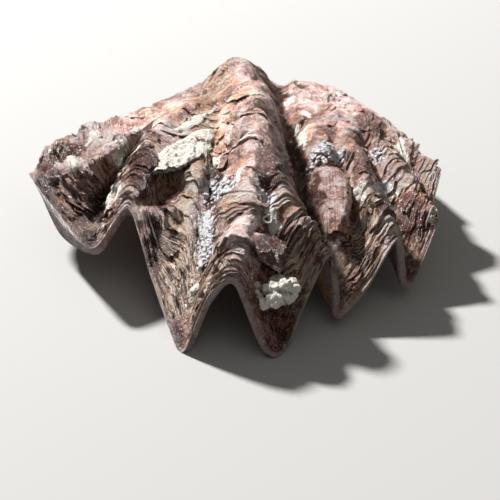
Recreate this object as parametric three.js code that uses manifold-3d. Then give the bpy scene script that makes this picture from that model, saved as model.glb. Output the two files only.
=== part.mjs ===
// Fossil honeycomb oyster: one strongly folded valve lying with its convex side up.
// Millimetres, +Z up, +Y away from the front margin. The origin is the middle of its resting plane.
// The valve is a fan of lines that run from the umbo to the margin. Crests and grooves alternate,
// a smooth curve joins them, and growth ledges, lumps and pits are laid over the folded sheet.

import * as THREE from 'three';
import * as BufferGeometryUtils from 'three/addons/utils/BufferGeometryUtils.js';
import Module from 'manifold-3d';

// Driving dimensions, in mm
const UMBO = [-4.5, 52, 12.4];
const RIM_THICKNESS = 0.9;
const CORE_THICKNESS = 1.8;
const LEDGE_HEIGHT = 0.42;
const HOLLOW_CENTRE = [-3, 33, -22];

// Shape of the folds and ledges, as shares of a step between lines or of the way to the margin
const FOLD_ROUNDNESS = 0.4;
const LEDGE_COUNT = 8;
const LEDGE_WOBBLE = 0.018;
const LEDGE_SPACING = 0.85;
const LEDGE_DROP = 0.012;
const LEDGE_BACK = { share: 0.55, lift: 0.35 };
const LEDGE_WAVES = { fine: 9, broad: 4, fade: 7 };
const FIRST_ROW = 0.05;
const LAST_ROW = { v: 0.985, lift: 0.2 };
const NORMAL_STEP = { v: 0.02, u: 0.5 };
const PIT_CLEARANCE = 1.5;

// How the hollow leaves the folds: its reach across lines, and the stretch where it smooths out
const HOLLOW_SPREAD = 1.1;
const HOLLOW_SMOOTHING = 3.5;
const HOLLOW_DEPTH = 0.93;
const MARGIN_SQUARENESS = 0.3;
const HANG_REACH = 6;

const STEPS_PER_LINE = 4;
const INNER_ROWS = 7;

// Lumps of cemented sediment and weathered pits: plan position, half widths, turn in degrees, height
const LUMPS = [
  { name: 'umbo_swell', at: [-4.3, 51.2], half: [4.4, 4.8], turn: 0, height: 1.5 },
  { name: 'keel_furrow', at: [0.3, 52.6], half: [1.7, 4.6], turn: -8, height: -1.5 },
  { name: 'cream_patch', at: [-10.0, 33.2], half: [4.6, 1.9], turn: 38, height: 1.1 },
  { name: 'cream_streak', at: [-9.6, 43.2], half: [4.4, 1.1], turn: 52, height: 0.6 },
  { name: 'cavity', at: [-11.4, 28.3], half: [2.3, 1.7], turn: 20, height: -1.9 },
  { name: 'groove_blob', at: [0, 13.6], half: [2.3, 2.2], turn: 0, height: 1.6 },
  { name: 'tongue_end', at: [5.4, 24.8], half: [2.3, 3.6], turn: 0, height: 1.1 },
  { name: 'tongue_foot', at: [6.2, 18.6], half: [2.2, 2.0], turn: 0, height: -0.9 },
  { name: 'notch_lip', at: [9.4, 25.2], half: [1.3, 1.8], turn: 0, height: 0.7 },
  { name: 'knob', at: [-23.2, 38.6], half: [2.0, 1.5], turn: 20, height: 0.7 },
  { name: 'wing_patch', at: [-18.6, 36.2], half: [2.6, 1.5], turn: 10, height: 0.7 },
  { name: 'side_knob', at: [15.9, 26.2], half: [0.9, 1.4], turn: 0, height: 0.7 },
  { name: 'lobe_crystals', at: [5.0, 36.2], half: [2.0, 1.5], turn: 0, height: 0.5 },
  { name: 'ring', at: [-0.5, 18.4], half: [1.4, 1.3], turn: 0, height: 0.5 },
  { name: 'slab_ridge', at: [-11.2, 24], half: [2.4, 1.3], turn: 0, height: 1.2 },
  { name: 'notch_gap', at: [9.6, 28], half: [1.8, 2.2], turn: -10, height: -0.7 },
  { name: 'front_hollow', at: [0.4, 11.4], half: [1.5, 2.2], turn: 0, height: -1.3 },
];

// The lines of the fan, in order round the valve from the hinge by way of the left wing. Each holds
// four points, at a quarter, a half, three quarters and the whole of its way to the margin.
const FAN = {
  hinge: [[-4.2, 56.0, 10.0], [-4.2, 57.8, 6.4], [-4.2, 58.6, 3.2], [-4.2, 58.8, 0.1]],
  hinge_left: [[-7.0, 55.0, 10.6], [-9.2, 56.4, 6.6], [-10.6, 56.8, 3.2], [-12, 56.4, 0.2]],
  back_left: [[-7.8, 53.8, 10.4], [-12.5, 53.2, 7.2], [-16, 51.8, 4.8], [-18.5, 50, 2.8]],
  wing_back: [[-8.5, 52.6, 10.2], [-16, 49.8, 7.4], [-22, 44.6, 6], [-24.6, 42.2, 4.8]],
  knob_rib: [[-8.8, 51.2, 10.2], [-15.6, 46.8, 9.1], [-21.2, 40.6, 8.7], [-25.2, 37.8, 7.6]],
  wing_groove: [[-8.8, 50, 10.3], [-15, 43.6, 9.3], [-20.6, 35.8, 8.2], [-25.8, 35.8, 6.6]],
  wing_rib: [[-8.6, 48.8, 10.7], [-14.4, 40.2, 10], [-19.6, 30.2, 10], [-26, 33.2, 7.2]],
  wing_wall: [[-8.6, 48.5, 10.7], [-14.2, 40, 9.9], [-18.6, 29, 8.2], [-22.6, 27, 6.5]],
  wing_hollow: [[-8.5, 48.1, 10.7], [-13.8, 39.8, 9.8], [-17.3, 29.6, 6.6], [-17.8, 18.9, 6]],
  left_rib: [[-8.0, 47.5, 11.5], [-12.6, 39.4, 10.3], [-14.4, 31, 10.3], [-14.7, 23.6, 8.2]],
  cavity: [[-7.6, 46.4, 11.6], [-10.2, 38.4, 10.1], [-11.2, 27, 7.8], [-12.1, 17.5, 4]],
  red_rib: [[-7.2, 45.4, 11.5], [-7.7, 36.8, 10.6], [-8.2, 26, 9.1], [-10, 12.2, 1.2]],
  left_groove: [[-6.6, 44.4, 12], [-6.1, 34, 10.7], [-6.9, 21.4, 7.2], [-8.5, 9.5, 0.1]],
  keel_left: [[-5.4, 42.8, 13.1], [-4.6, 31.6, 12.3], [-4.6, 20.8, 9.8], [-6.1, 9.8, 6]],
  keel: [[-3.9, 41.2, 14.2], [-3.1, 30.2, 13.7], [-2.2, 19.4, 11.6], [-3.6, 9.9, 7.6]],
  front_groove: [[-2.9, 41, 14.5], [-1.9, 29.8, 14.1], [-0.6, 18.4, 9.7], [0.1, 8.8, 0.1]],
  right_fork: [[-1.8, 41.8, 14.1], [-0.7, 30.4, 13.5], [1.2, 19.4, 11.3], [5, 15.7, 7.2]],
  keel_right: [[-0.7, 45, 12.4], [0.7, 33.4, 11], [2.6, 22.4, 8.6], [6.1, 14.9, 4.8]],
  deep_groove: [[0.1, 49.6, 8.6], [1.7, 38.5, 6.6], [3.3, 27.4, 5.2], [6.2, 13.7, 2]],
  tongue_rib: [[0.9, 51.2, 8.9], [4.1, 41, 9.3], [5.6, 28, 8], [7.3, 14.7, 2.3]],
  tongue_groove: [[1.1, 51.9, 9], [5.4, 42.3, 9.35], [7.6, 29, 6.2], [9, 16.2, 4]],
  notched_rib: [[1.3, 52.5, 9.2], [6.8, 43.6, 9.6], [9.3, 30, 9], [12.1, 19.7, 7.4]],
  right_groove: [[1.4, 53, 9.1], [7.8, 45.4, 9.35], [11.2, 31.5, 6.3], [13.3, 19.4, 2]],
  smooth_rib: [[1.5, 53.4, 9.2], [8.6, 47, 9.3], [13.2, 34, 8.2], [16.4, 25.3, 6.3]],
  side_groove: [[1.7, 53.6, 9.3], [8.8, 49.2, 9.05], [13.8, 38.5, 7.2], [15.8, 28.4, 4.5]],
  plate_rib: [[1.8, 54, 9.6], [8.7, 51, 9], [14, 42, 8], [17.5, 34.5, 7.9]],
  far_groove: [[1.7, 54.4, 9.6], [8.5, 52.6, 8.85], [13.8, 45.6, 6.9], [16, 37.8, 4.7]],
  far_rib: [[1.7, 54.8, 9.8], [7.8, 53.8, 9], [13.2, 49, 7], [16.1, 41.4, 6.4]],
  back_right: [[1.6, 55.4, 9.9], [6.2, 55.6, 8.8], [11.4, 53, 5.4], [14.6, 48.8, 3.5]],
  back_lobe: [[0.6, 56.2, 9.3], [4.2, 57.4, 6.8], [7.2, 57, 3.6], [9.6, 54.9, 1.6]],
  hinge_right: [[-1.6, 56.2, 9.4], [0.5, 57.8, 6.2], [1.8, 58.5, 3.2], [3.2, 58.2, 0.2]],
};
// How far the edge of the valve reaches below the margin at a line
const HANG = { wing_wall: 2.4 };
const LINES = Object.values(FAN);
const HANGS = Object.keys(FAN).map((name) => HANG[name] ?? 0);
const STATIONS = FAN.hinge.length;

const material = new THREE.MeshStandardMaterial({ color: 0x8a6a5c, roughness: 0.62, metalness: 0 });

// A point of a curve through b and c, with a and d beyond them. Roundness scales its tangents.
function through(a, b, c, d, t, roundness) {
  const t2 = t * t;
  const t3 = t2 * t;
  return b.map((value, k) => {
    const startTangent = roundness * (c[k] - a[k]);
    const endTangent = roundness * (d[k] - value);
    return (2 * t3 - 3 * t2 + 1) * value + (t3 - 2 * t2 + t) * startTangent
      + (3 * t2 - 2 * t3) * c[k] + (t3 - t2) * endTangent;
  });
}

// A point on one line, v from 0 at the umbo to 1 at the margin
function alongLine(line, v) {
  const stops = [UMBO, ...line];
  const place = Math.min(v * STATIONS, STATIONS - 1e-9);
  const k = Math.floor(place);
  const before = k > 0 ? stops[k - 1] : stops[0];
  const after = k + 2 <= STATIONS ? stops[k + 2] : stops[STATIONS];
  return through(before, stops[k], stops[k + 1], after, place - k, 0.5);
}

function wrap(i) {
  return THREE.MathUtils.euclideanModulo(i, LINES.length);
}

// A point of the folded sheet, u counting lines round the fan
function sheet(u, v) {
  const k = Math.floor(u);
  const at = (i) => alongLine(LINES[wrap(i)], v);
  return through(at(k - 1), at(k), at(k + 1), at(k + 2), u - k, FOLD_ROUNDNESS);
}

function hangAt(u) {
  const k = Math.floor(u);
  const here = HANGS[wrap(k)];
  const next = HANGS[wrap(k + 1)];
  return here + (next - here) * THREE.MathUtils.smoothstep(u - k, 0, 1);
}

// Angle at a place round the valve of a wave that fits a whole number of times
function waveAt(u, count) {
  return (2 * Math.PI * count * u) / LINES.length;
}

function sheetPoint(u, v) {
  return new THREE.Vector3(...sheet(u, v));
}

function normalAt(u, v) {
  const low = Math.max(v - NORMAL_STEP.v, NORMAL_STEP.v / 2);
  const high = Math.min(v + NORMAL_STEP.v, 1);
  const along = sheetPoint(u, high).sub(sheetPoint(u, low));
  const across = sheetPoint(u + NORMAL_STEP.u, v).sub(sheetPoint(u - NORMAL_STEP.u, v));
  return along.cross(across).normalize();
}

// Growth ledges: each ledge climbs to a lip that faces the margin, then drops to the next
function ledgeLine(u, k) {
  const even = (k + 1) / (LEDGE_COUNT + 0.6);
  const fine = Math.sin(waveAt(u, LEDGE_WAVES.fine) + k * 2.3);
  const broad = Math.sin(waveAt(u, LEDGE_WAVES.broad) + k * 1.1);
  const wobble = LEDGE_WOBBLE * (fine + broad);
  return Math.pow(even, LEDGE_SPACING) + wobble;
}

function rowsAt(u) {
  const rows = [{ v: FIRST_ROW, lift: 0 }];
  for (let k = 0; k < LEDGE_COUNT; k += 1) {
    const edge = ledgeLine(u, k);
    const previous = k > 0 ? ledgeLine(u, k - 1) : FIRST_ROW;
    rows.push({ v: previous + (edge - previous) * LEDGE_BACK.share, lift: LEDGE_BACK.lift });
    rows.push({ v: edge, lift: 1 });
    rows.push({ v: edge + LEDGE_DROP, lift: 0 });
  }
  rows.push(LAST_ROW);
  rows.push({ v: 1, lift: 0 });
  return rows;
}

// Height that one lump or pit adds at a plan position. Spread widens it.
function lumpShare(lump, x, y, spread = 1) {
  const angle = THREE.MathUtils.degToRad(lump.turn);
  const dx = x - lump.at[0];
  const dy = y - lump.at[1];
  const across = (dx * Math.cos(angle) + dy * Math.sin(angle)) / (lump.half[0] * spread);
  const along = (dy * Math.cos(angle) - dx * Math.sin(angle)) / (lump.half[1] * spread);
  const reach = 1 - across * across - along * along;
  return reach > 0 ? lump.height * reach : 0;
}

function lumpHeight(x, y) {
  return LUMPS.reduce((sum, lump) => sum + lumpShare(lump, x, y), 0);
}

// The pits alone, which the hollow underneath keeps clear of
function pitDepth(x, y) {
  return LUMPS.reduce((sum, lump) => sum + Math.min(0, lumpShare(lump, x, y, PIT_CLEARANCE)), 0);
}

// Each ledge fades and returns round the valve, as broken lamellae do
function ledgeStrength(u, v) {
  const fade = 0.62 + 0.38 * Math.sin(waveAt(u, LEDGE_WAVES.fade) + v * 29);
  return LEDGE_HEIGHT * fade * THREE.MathUtils.smoothstep(v, 0.12, 0.34);
}

function outerPoint(u, row) {
  const point = sheetPoint(u, row.v);
  point.z += lumpHeight(point.x, point.y);
  return point.addScaledVector(normalAt(u, row.v), row.lift * ledgeStrength(u, row.v));
}

// The hollow under the valve follows the folds at the margin and smooths out further in
function innerPoint(u, v) {
  const smooth = Math.min(1, (1 - v) * HOLLOW_SMOOTHING);
  const point = sheetPoint(u, v);
  let lowest = point.z;
  for (let tap = -HOLLOW_SPREAD; tap <= HOLLOW_SPREAD; tap += HOLLOW_SPREAD / 4) {
    lowest = Math.min(lowest, sheet(u + tap, v)[2]);
  }
  const thickness = RIM_THICKNESS + (CORE_THICKNESS - RIM_THICKNESS) * smooth;
  const inward = new THREE.Vector3(...HOLLOW_CENTRE).sub(point).normalize();
  const square = MARGIN_SQUARENESS * (1 - smooth);
  inward.multiplyScalar(1 - square).addScaledVector(normalAt(u, v), -square).normalize();
  point.z -= (point.z - lowest) * smooth;
  point.z += pitDepth(point.x, point.y);
  point.addScaledVector(inward, thickness);
  point.z -= hangAt(u) * Math.max(0, 1 - (1 - v) * HANG_REACH);
  return point;
}

function valveGeometry() {
  const columns = LINES.length * STEPS_PER_LINE;
  const positions = [];
  const index = [];
  const outerRows = rowsAt(0).length;
  for (let i = 0; i < columns; i += 1) {
    const u = i / STEPS_PER_LINE;
    for (const row of rowsAt(u)) {
      positions.push(...outerPoint(u, row).toArray());
    }
    for (let j = 0; j < INNER_ROWS; j += 1) {
      const v = 1 - HOLLOW_DEPTH * Math.pow(j / (INNER_ROWS - 1), 1.3);
      positions.push(...innerPoint(u, v).toArray());
    }
  }
  const perColumn = outerRows + INNER_ROWS;
  const top = columns * perColumn;
  const bottom = top + 1;
  positions.push(UMBO[0], UMBO[1], UMBO[2] + lumpHeight(UMBO[0], UMBO[1]));
  let floor = new THREE.Vector3();
  for (let i = 0; i < columns; i += 1) {
    const base = (i * perColumn + perColumn - 1) * 3;
    floor.add(new THREE.Vector3(positions[base], positions[base + 1], positions[base + 2]));
  }
  floor = floor.multiplyScalar(1 / columns);
  positions.push(...floor.toArray());
  for (let i = 0; i < columns; i += 1) {
    const a = i * perColumn;
    const b = ((i + 1) % columns) * perColumn;
    index.push(top, a, b);
    for (let j = 0; j < perColumn - 1; j += 1) {
      index.push(a + j, a + j + 1, b + j + 1);
      index.push(a + j, b + j + 1, b + j);
    }
    index.push(bottom, b + perColumn - 1, a + perColumn - 1);
  }
  const geometry = new THREE.BufferGeometry();
  geometry.setAttribute('position', new THREE.Float32BufferAttribute(positions, 3));
  geometry.setIndex(index);
  return geometry;
}

// Cuts the tips and the hinge flat where the valve rests
async function cutFlat(geometry) {
  const wasm = await Module();
  wasm.setup();
  const solid = (shape) => {
    const bare = shape.clone();
    bare.deleteAttribute('normal');
    bare.deleteAttribute('uv');
    const merged = BufferGeometryUtils.mergeVertices(bare);
    return new wasm.Manifold(new wasm.Mesh({
      numProp: 3,
      vertProperties: new Float32Array(merged.attributes.position.array),
      triVerts: new Uint32Array(merged.index.array),
    }));
  };
  const below = new THREE.BoxGeometry(200, 200, 20);
  below.translate(0, 0, -10);
  const cut = solid(geometry).subtract(solid(below)).getMesh();
  const result = new THREE.BufferGeometry();
  result.setAttribute('position', new THREE.Float32BufferAttribute(cut.vertProperties, 3));
  result.setIndex(Array.from(cut.triVerts));
  return result;
}

const geometry = await cutFlat(valveGeometry());
geometry.computeBoundingBox();
const box = geometry.boundingBox;
geometry.translate(-(box.min.x + box.max.x) / 2, -(box.min.y + box.max.y) / 2, -box.min.z);
geometry.computeVertexNormals();

const oyster = new THREE.Group();
const valve = new THREE.Mesh(geometry, material);
valve.name = 'valve';
oyster.add(valve);

export default oyster;
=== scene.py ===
"""The looks of a fossil honeycomb oyster: one strongly folded valve lying with its convex side up.

Shapes are worked out in millimetres and written to the meshes in metres.
"""

import math

import bpy
import numpy as np
from mathutils import Euler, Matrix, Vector


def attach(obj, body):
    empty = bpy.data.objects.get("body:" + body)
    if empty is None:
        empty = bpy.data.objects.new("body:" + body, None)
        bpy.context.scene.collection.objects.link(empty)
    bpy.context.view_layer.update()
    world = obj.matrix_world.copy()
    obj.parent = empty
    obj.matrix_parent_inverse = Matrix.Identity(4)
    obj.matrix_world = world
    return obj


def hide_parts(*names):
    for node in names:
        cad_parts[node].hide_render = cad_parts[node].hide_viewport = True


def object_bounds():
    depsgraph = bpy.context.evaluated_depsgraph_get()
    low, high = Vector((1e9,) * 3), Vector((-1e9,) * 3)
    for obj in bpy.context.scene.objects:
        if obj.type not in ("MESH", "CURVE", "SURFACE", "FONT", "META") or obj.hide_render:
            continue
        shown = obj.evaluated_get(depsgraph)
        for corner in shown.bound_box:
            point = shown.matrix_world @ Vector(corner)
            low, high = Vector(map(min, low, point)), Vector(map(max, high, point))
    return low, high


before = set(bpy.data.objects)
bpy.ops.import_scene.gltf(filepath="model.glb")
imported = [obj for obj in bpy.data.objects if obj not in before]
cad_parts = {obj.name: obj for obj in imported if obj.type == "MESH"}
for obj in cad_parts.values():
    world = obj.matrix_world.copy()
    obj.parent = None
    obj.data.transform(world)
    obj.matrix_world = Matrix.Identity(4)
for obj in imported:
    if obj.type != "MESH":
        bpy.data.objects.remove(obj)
CAD_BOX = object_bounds()
MM = 0.001

# The folded sheet, as in the part: a fan of lines from the umbo to the margin, in mm. Each line holds
# four points, at a quarter, a half, three quarters and the whole of its way.
UMBO = (-4.5, 52, 12.4)
ORIGIN_SHIFT = np.array([4.3319, -33.9376, 0])
FAN = {
    "hinge": [(-4.2, 56, 10), (-4.2, 57.8, 6.4), (-4.2, 58.6, 3.2), (-4.2, 58.8, 0.1)],
    "hinge_left": [(-7, 55, 10.6), (-9.2, 56.4, 6.6), (-10.6, 56.8, 3.2), (-12, 56.4, 0.2)],
    "back_left": [(-7.8, 53.8, 10.4), (-12.5, 53.2, 7.2), (-16, 51.8, 4.8), (-18.5, 50, 2.8)],
    "wing_back": [(-8.5, 52.6, 10.2), (-16, 49.8, 7.4), (-22, 44.6, 6), (-24.6, 42.2, 4.8)],
    "knob_rib": [(-8.8, 51.2, 10.2), (-15.6, 46.8, 9.1), (-21.2, 40.6, 8.7), (-25.2, 37.8, 7.6)],
    "wing_groove": [(-8.8, 50, 10.3), (-15, 43.6, 9.3), (-20.6, 35.8, 8.2), (-25.8, 35.8, 6.6)],
    "wing_rib": [(-8.6, 48.8, 10.7), (-14.4, 40.2, 10), (-19.6, 30.2, 10), (-26, 33.2, 7.2)],
    "wing_wall": [(-8.6, 48.5, 10.7), (-14.2, 40, 9.9), (-18.6, 29, 8.2), (-22.6, 27, 6.5)],
    "wing_hollow": [(-8.5, 48.1, 10.7), (-13.8, 39.8, 9.8), (-17.3, 29.6, 6.6), (-17.8, 18.9, 6)],
    "left_rib": [(-8, 47.5, 11.5), (-12.6, 39.4, 10.3), (-14.4, 31, 10.3), (-14.7, 23.6, 8.2)],
    "cavity": [(-7.6, 46.4, 11.6), (-10.2, 38.4, 10.1), (-11.2, 27, 7.8), (-12.1, 17.5, 4)],
    "red_rib": [(-7.2, 45.4, 11.5), (-7.7, 36.8, 10.6), (-8.2, 26, 9.1), (-10, 12.2, 1.2)],
    "left_groove": [(-6.6, 44.4, 12), (-6.1, 34, 10.7), (-6.9, 21.4, 7.2), (-8.5, 9.5, 0.1)],
    "keel_left": [(-5.4, 42.8, 13.1), (-4.6, 31.6, 12.3), (-4.6, 20.8, 9.8), (-6.1, 9.8, 6)],
    "keel": [(-3.9, 41.2, 14.2), (-3.1, 30.2, 13.7), (-2.2, 19.4, 11.6), (-3.6, 9.9, 7.6)],
    "front_groove": [(-2.9, 41, 14.5), (-1.9, 29.8, 14.1), (-0.6, 18.4, 9.7), (0.1, 8.8, 0.1)],
    "right_fork": [(-1.8, 41.8, 14.1), (-0.7, 30.4, 13.5), (1.2, 19.4, 11.3), (5, 15.7, 7.2)],
    "keel_right": [(-0.7, 45, 12.4), (0.7, 33.4, 11), (2.6, 22.4, 8.6), (6.1, 14.9, 4.8)],
    "deep_groove": [(0.1, 49.6, 8.6), (1.7, 38.5, 6.6), (3.3, 27.4, 5.2), (6.2, 13.7, 2)],
    "tongue_rib": [(0.9, 51.2, 8.9), (4.1, 41, 9.3), (5.6, 28, 8), (7.3, 14.7, 2.3)],
    "tongue_groove": [(1.1, 51.9, 9), (5.4, 42.3, 9.35), (7.6, 29, 6.2), (9, 16.2, 4)],
    "notched_rib": [(1.3, 52.5, 9.2), (6.8, 43.6, 9.6), (9.3, 30, 9), (12.1, 19.7, 7.4)],
    "right_groove": [(1.4, 53, 9.1), (7.8, 45.4, 9.35), (11.2, 31.5, 6.3), (13.3, 19.4, 2)],
    "smooth_rib": [(1.5, 53.4, 9.2), (8.6, 47, 9.3), (13.2, 34, 8.2), (16.4, 25.3, 6.3)],
    "side_groove": [(1.7, 53.6, 9.3), (8.8, 49.2, 9.05), (13.8, 38.5, 7.2), (15.8, 28.4, 4.5)],
    "plate_rib": [(1.8, 54, 9.6), (8.7, 51, 9), (14, 42, 8), (17.5, 34.5, 7.9)],
    "far_groove": [(1.7, 54.4, 9.6), (8.5, 52.6, 8.85), (13.8, 45.6, 6.9), (16, 37.8, 4.7)],
    "far_rib": [(1.7, 54.8, 9.8), (7.8, 53.8, 9), (13.2, 49, 7), (16.1, 41.4, 6.4)],
    "back_right": [(1.6, 55.4, 9.9), (6.2, 55.6, 8.8), (11.4, 53, 5.4), (14.6, 48.8, 3.5)],
    "back_lobe": [(0.6, 56.2, 9.3), (4.2, 57.4, 6.8), (7.2, 57, 3.6), (9.6, 54.9, 1.6)],
    "hinge_right": [(-1.6, 56.2, 9.4), (0.5, 57.8, 6.2), (1.8, 58.5, 3.2), (3.2, 58.2, 0.2)],
}
STOPS = np.array([[UMBO, *points] for points in FAN.values()], float)
LINE_COUNT = len(FAN)
STATIONS = STOPS.shape[1] - 1
FOLD_ROUNDNESS = 0.4
WALL_HANG = 2.4
HANGS = np.array([WALL_HANG if name == "wing_wall" else 0 for name in FAN])
HANG_REACH = 6
HOLLOW_CENTRE = np.array([-3, 33, -22])
HOLLOW_SPREAD = 1.1
HOLLOW_SMOOTHING = 3.5
HOLLOW_DEPTH = 0.93
MARGIN_SQUARENESS = 0.3
RIM_THICKNESS = 0.9
CORE_THICKNESS = 1.8
PIT_CLEARANCE = 1.5

# Lumps and pits: plan position, half widths, turn in degrees, height
LUMPS = [
    (-4.3, 51.2, 4.4, 4.8, 0, 1.5), (0.3, 52.6, 1.7, 4.6, -8, -1.5), (-10, 33.2, 4.6, 1.9, 38, 1.1),
    (-9.6, 43.2, 4.4, 1.1, 52, 0.6), (-11.4, 28.3, 2.3, 1.7, 20, -1.9), (0, 13.6, 2.3, 2.2, 0, 1.6),
    (5.4, 24.8, 2.3, 3.6, 0, 1.1), (6.2, 18.6, 2.2, 2, 0, -0.9), (9.4, 25.2, 1.3, 1.8, 0, 0.7),
    (-23.2, 38.6, 2, 1.5, 20, 0.7), (-18.6, 36.2, 2.6, 1.5, 10, 0.7), (15.9, 26.2, 0.9, 1.4, 0, 0.7),
    (-11.2, 24, 2.4, 1.3, 0, 1.2), (9.6, 28, 1.8, 2.2, -10, -0.7), (5, 36.2, 2, 1.5, 0, 0.5),
    (-0.5, 18.4, 1.4, 1.3, 0, 0.5), (0.4, 11.4, 1.5, 2.2, 0, -1.3),
]

# Growth ledges, the fine laminae between them, and the mesh that carries them
LEDGE_COUNT = 8
LEDGE_HEIGHT = 0.42
LEDGE_SPACING = 0.85
LEDGE_WOBBLE = 0.018
WAVES = [2 * math.pi * count / LINE_COUNT for count in (9, 4, 7)]
LAMINAE_PER_LEDGE = 7
LAMINAE_PAST_LAST = 6
LAMINA_HEIGHT = 0.19
LAMINA_OVERHANG = 0.16
COLUMNS = 460
INNER_ROWS = 24
FIRST_ROW = 0.03
RIM_REACH = (0.975, 0.995)
RIM_FADE = 0.03
RIPPLE_HEIGHT = 0.05
METRIC_STEP_U = 0.1
METRIC_STEP_V = 0.02
SEED = 7

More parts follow.
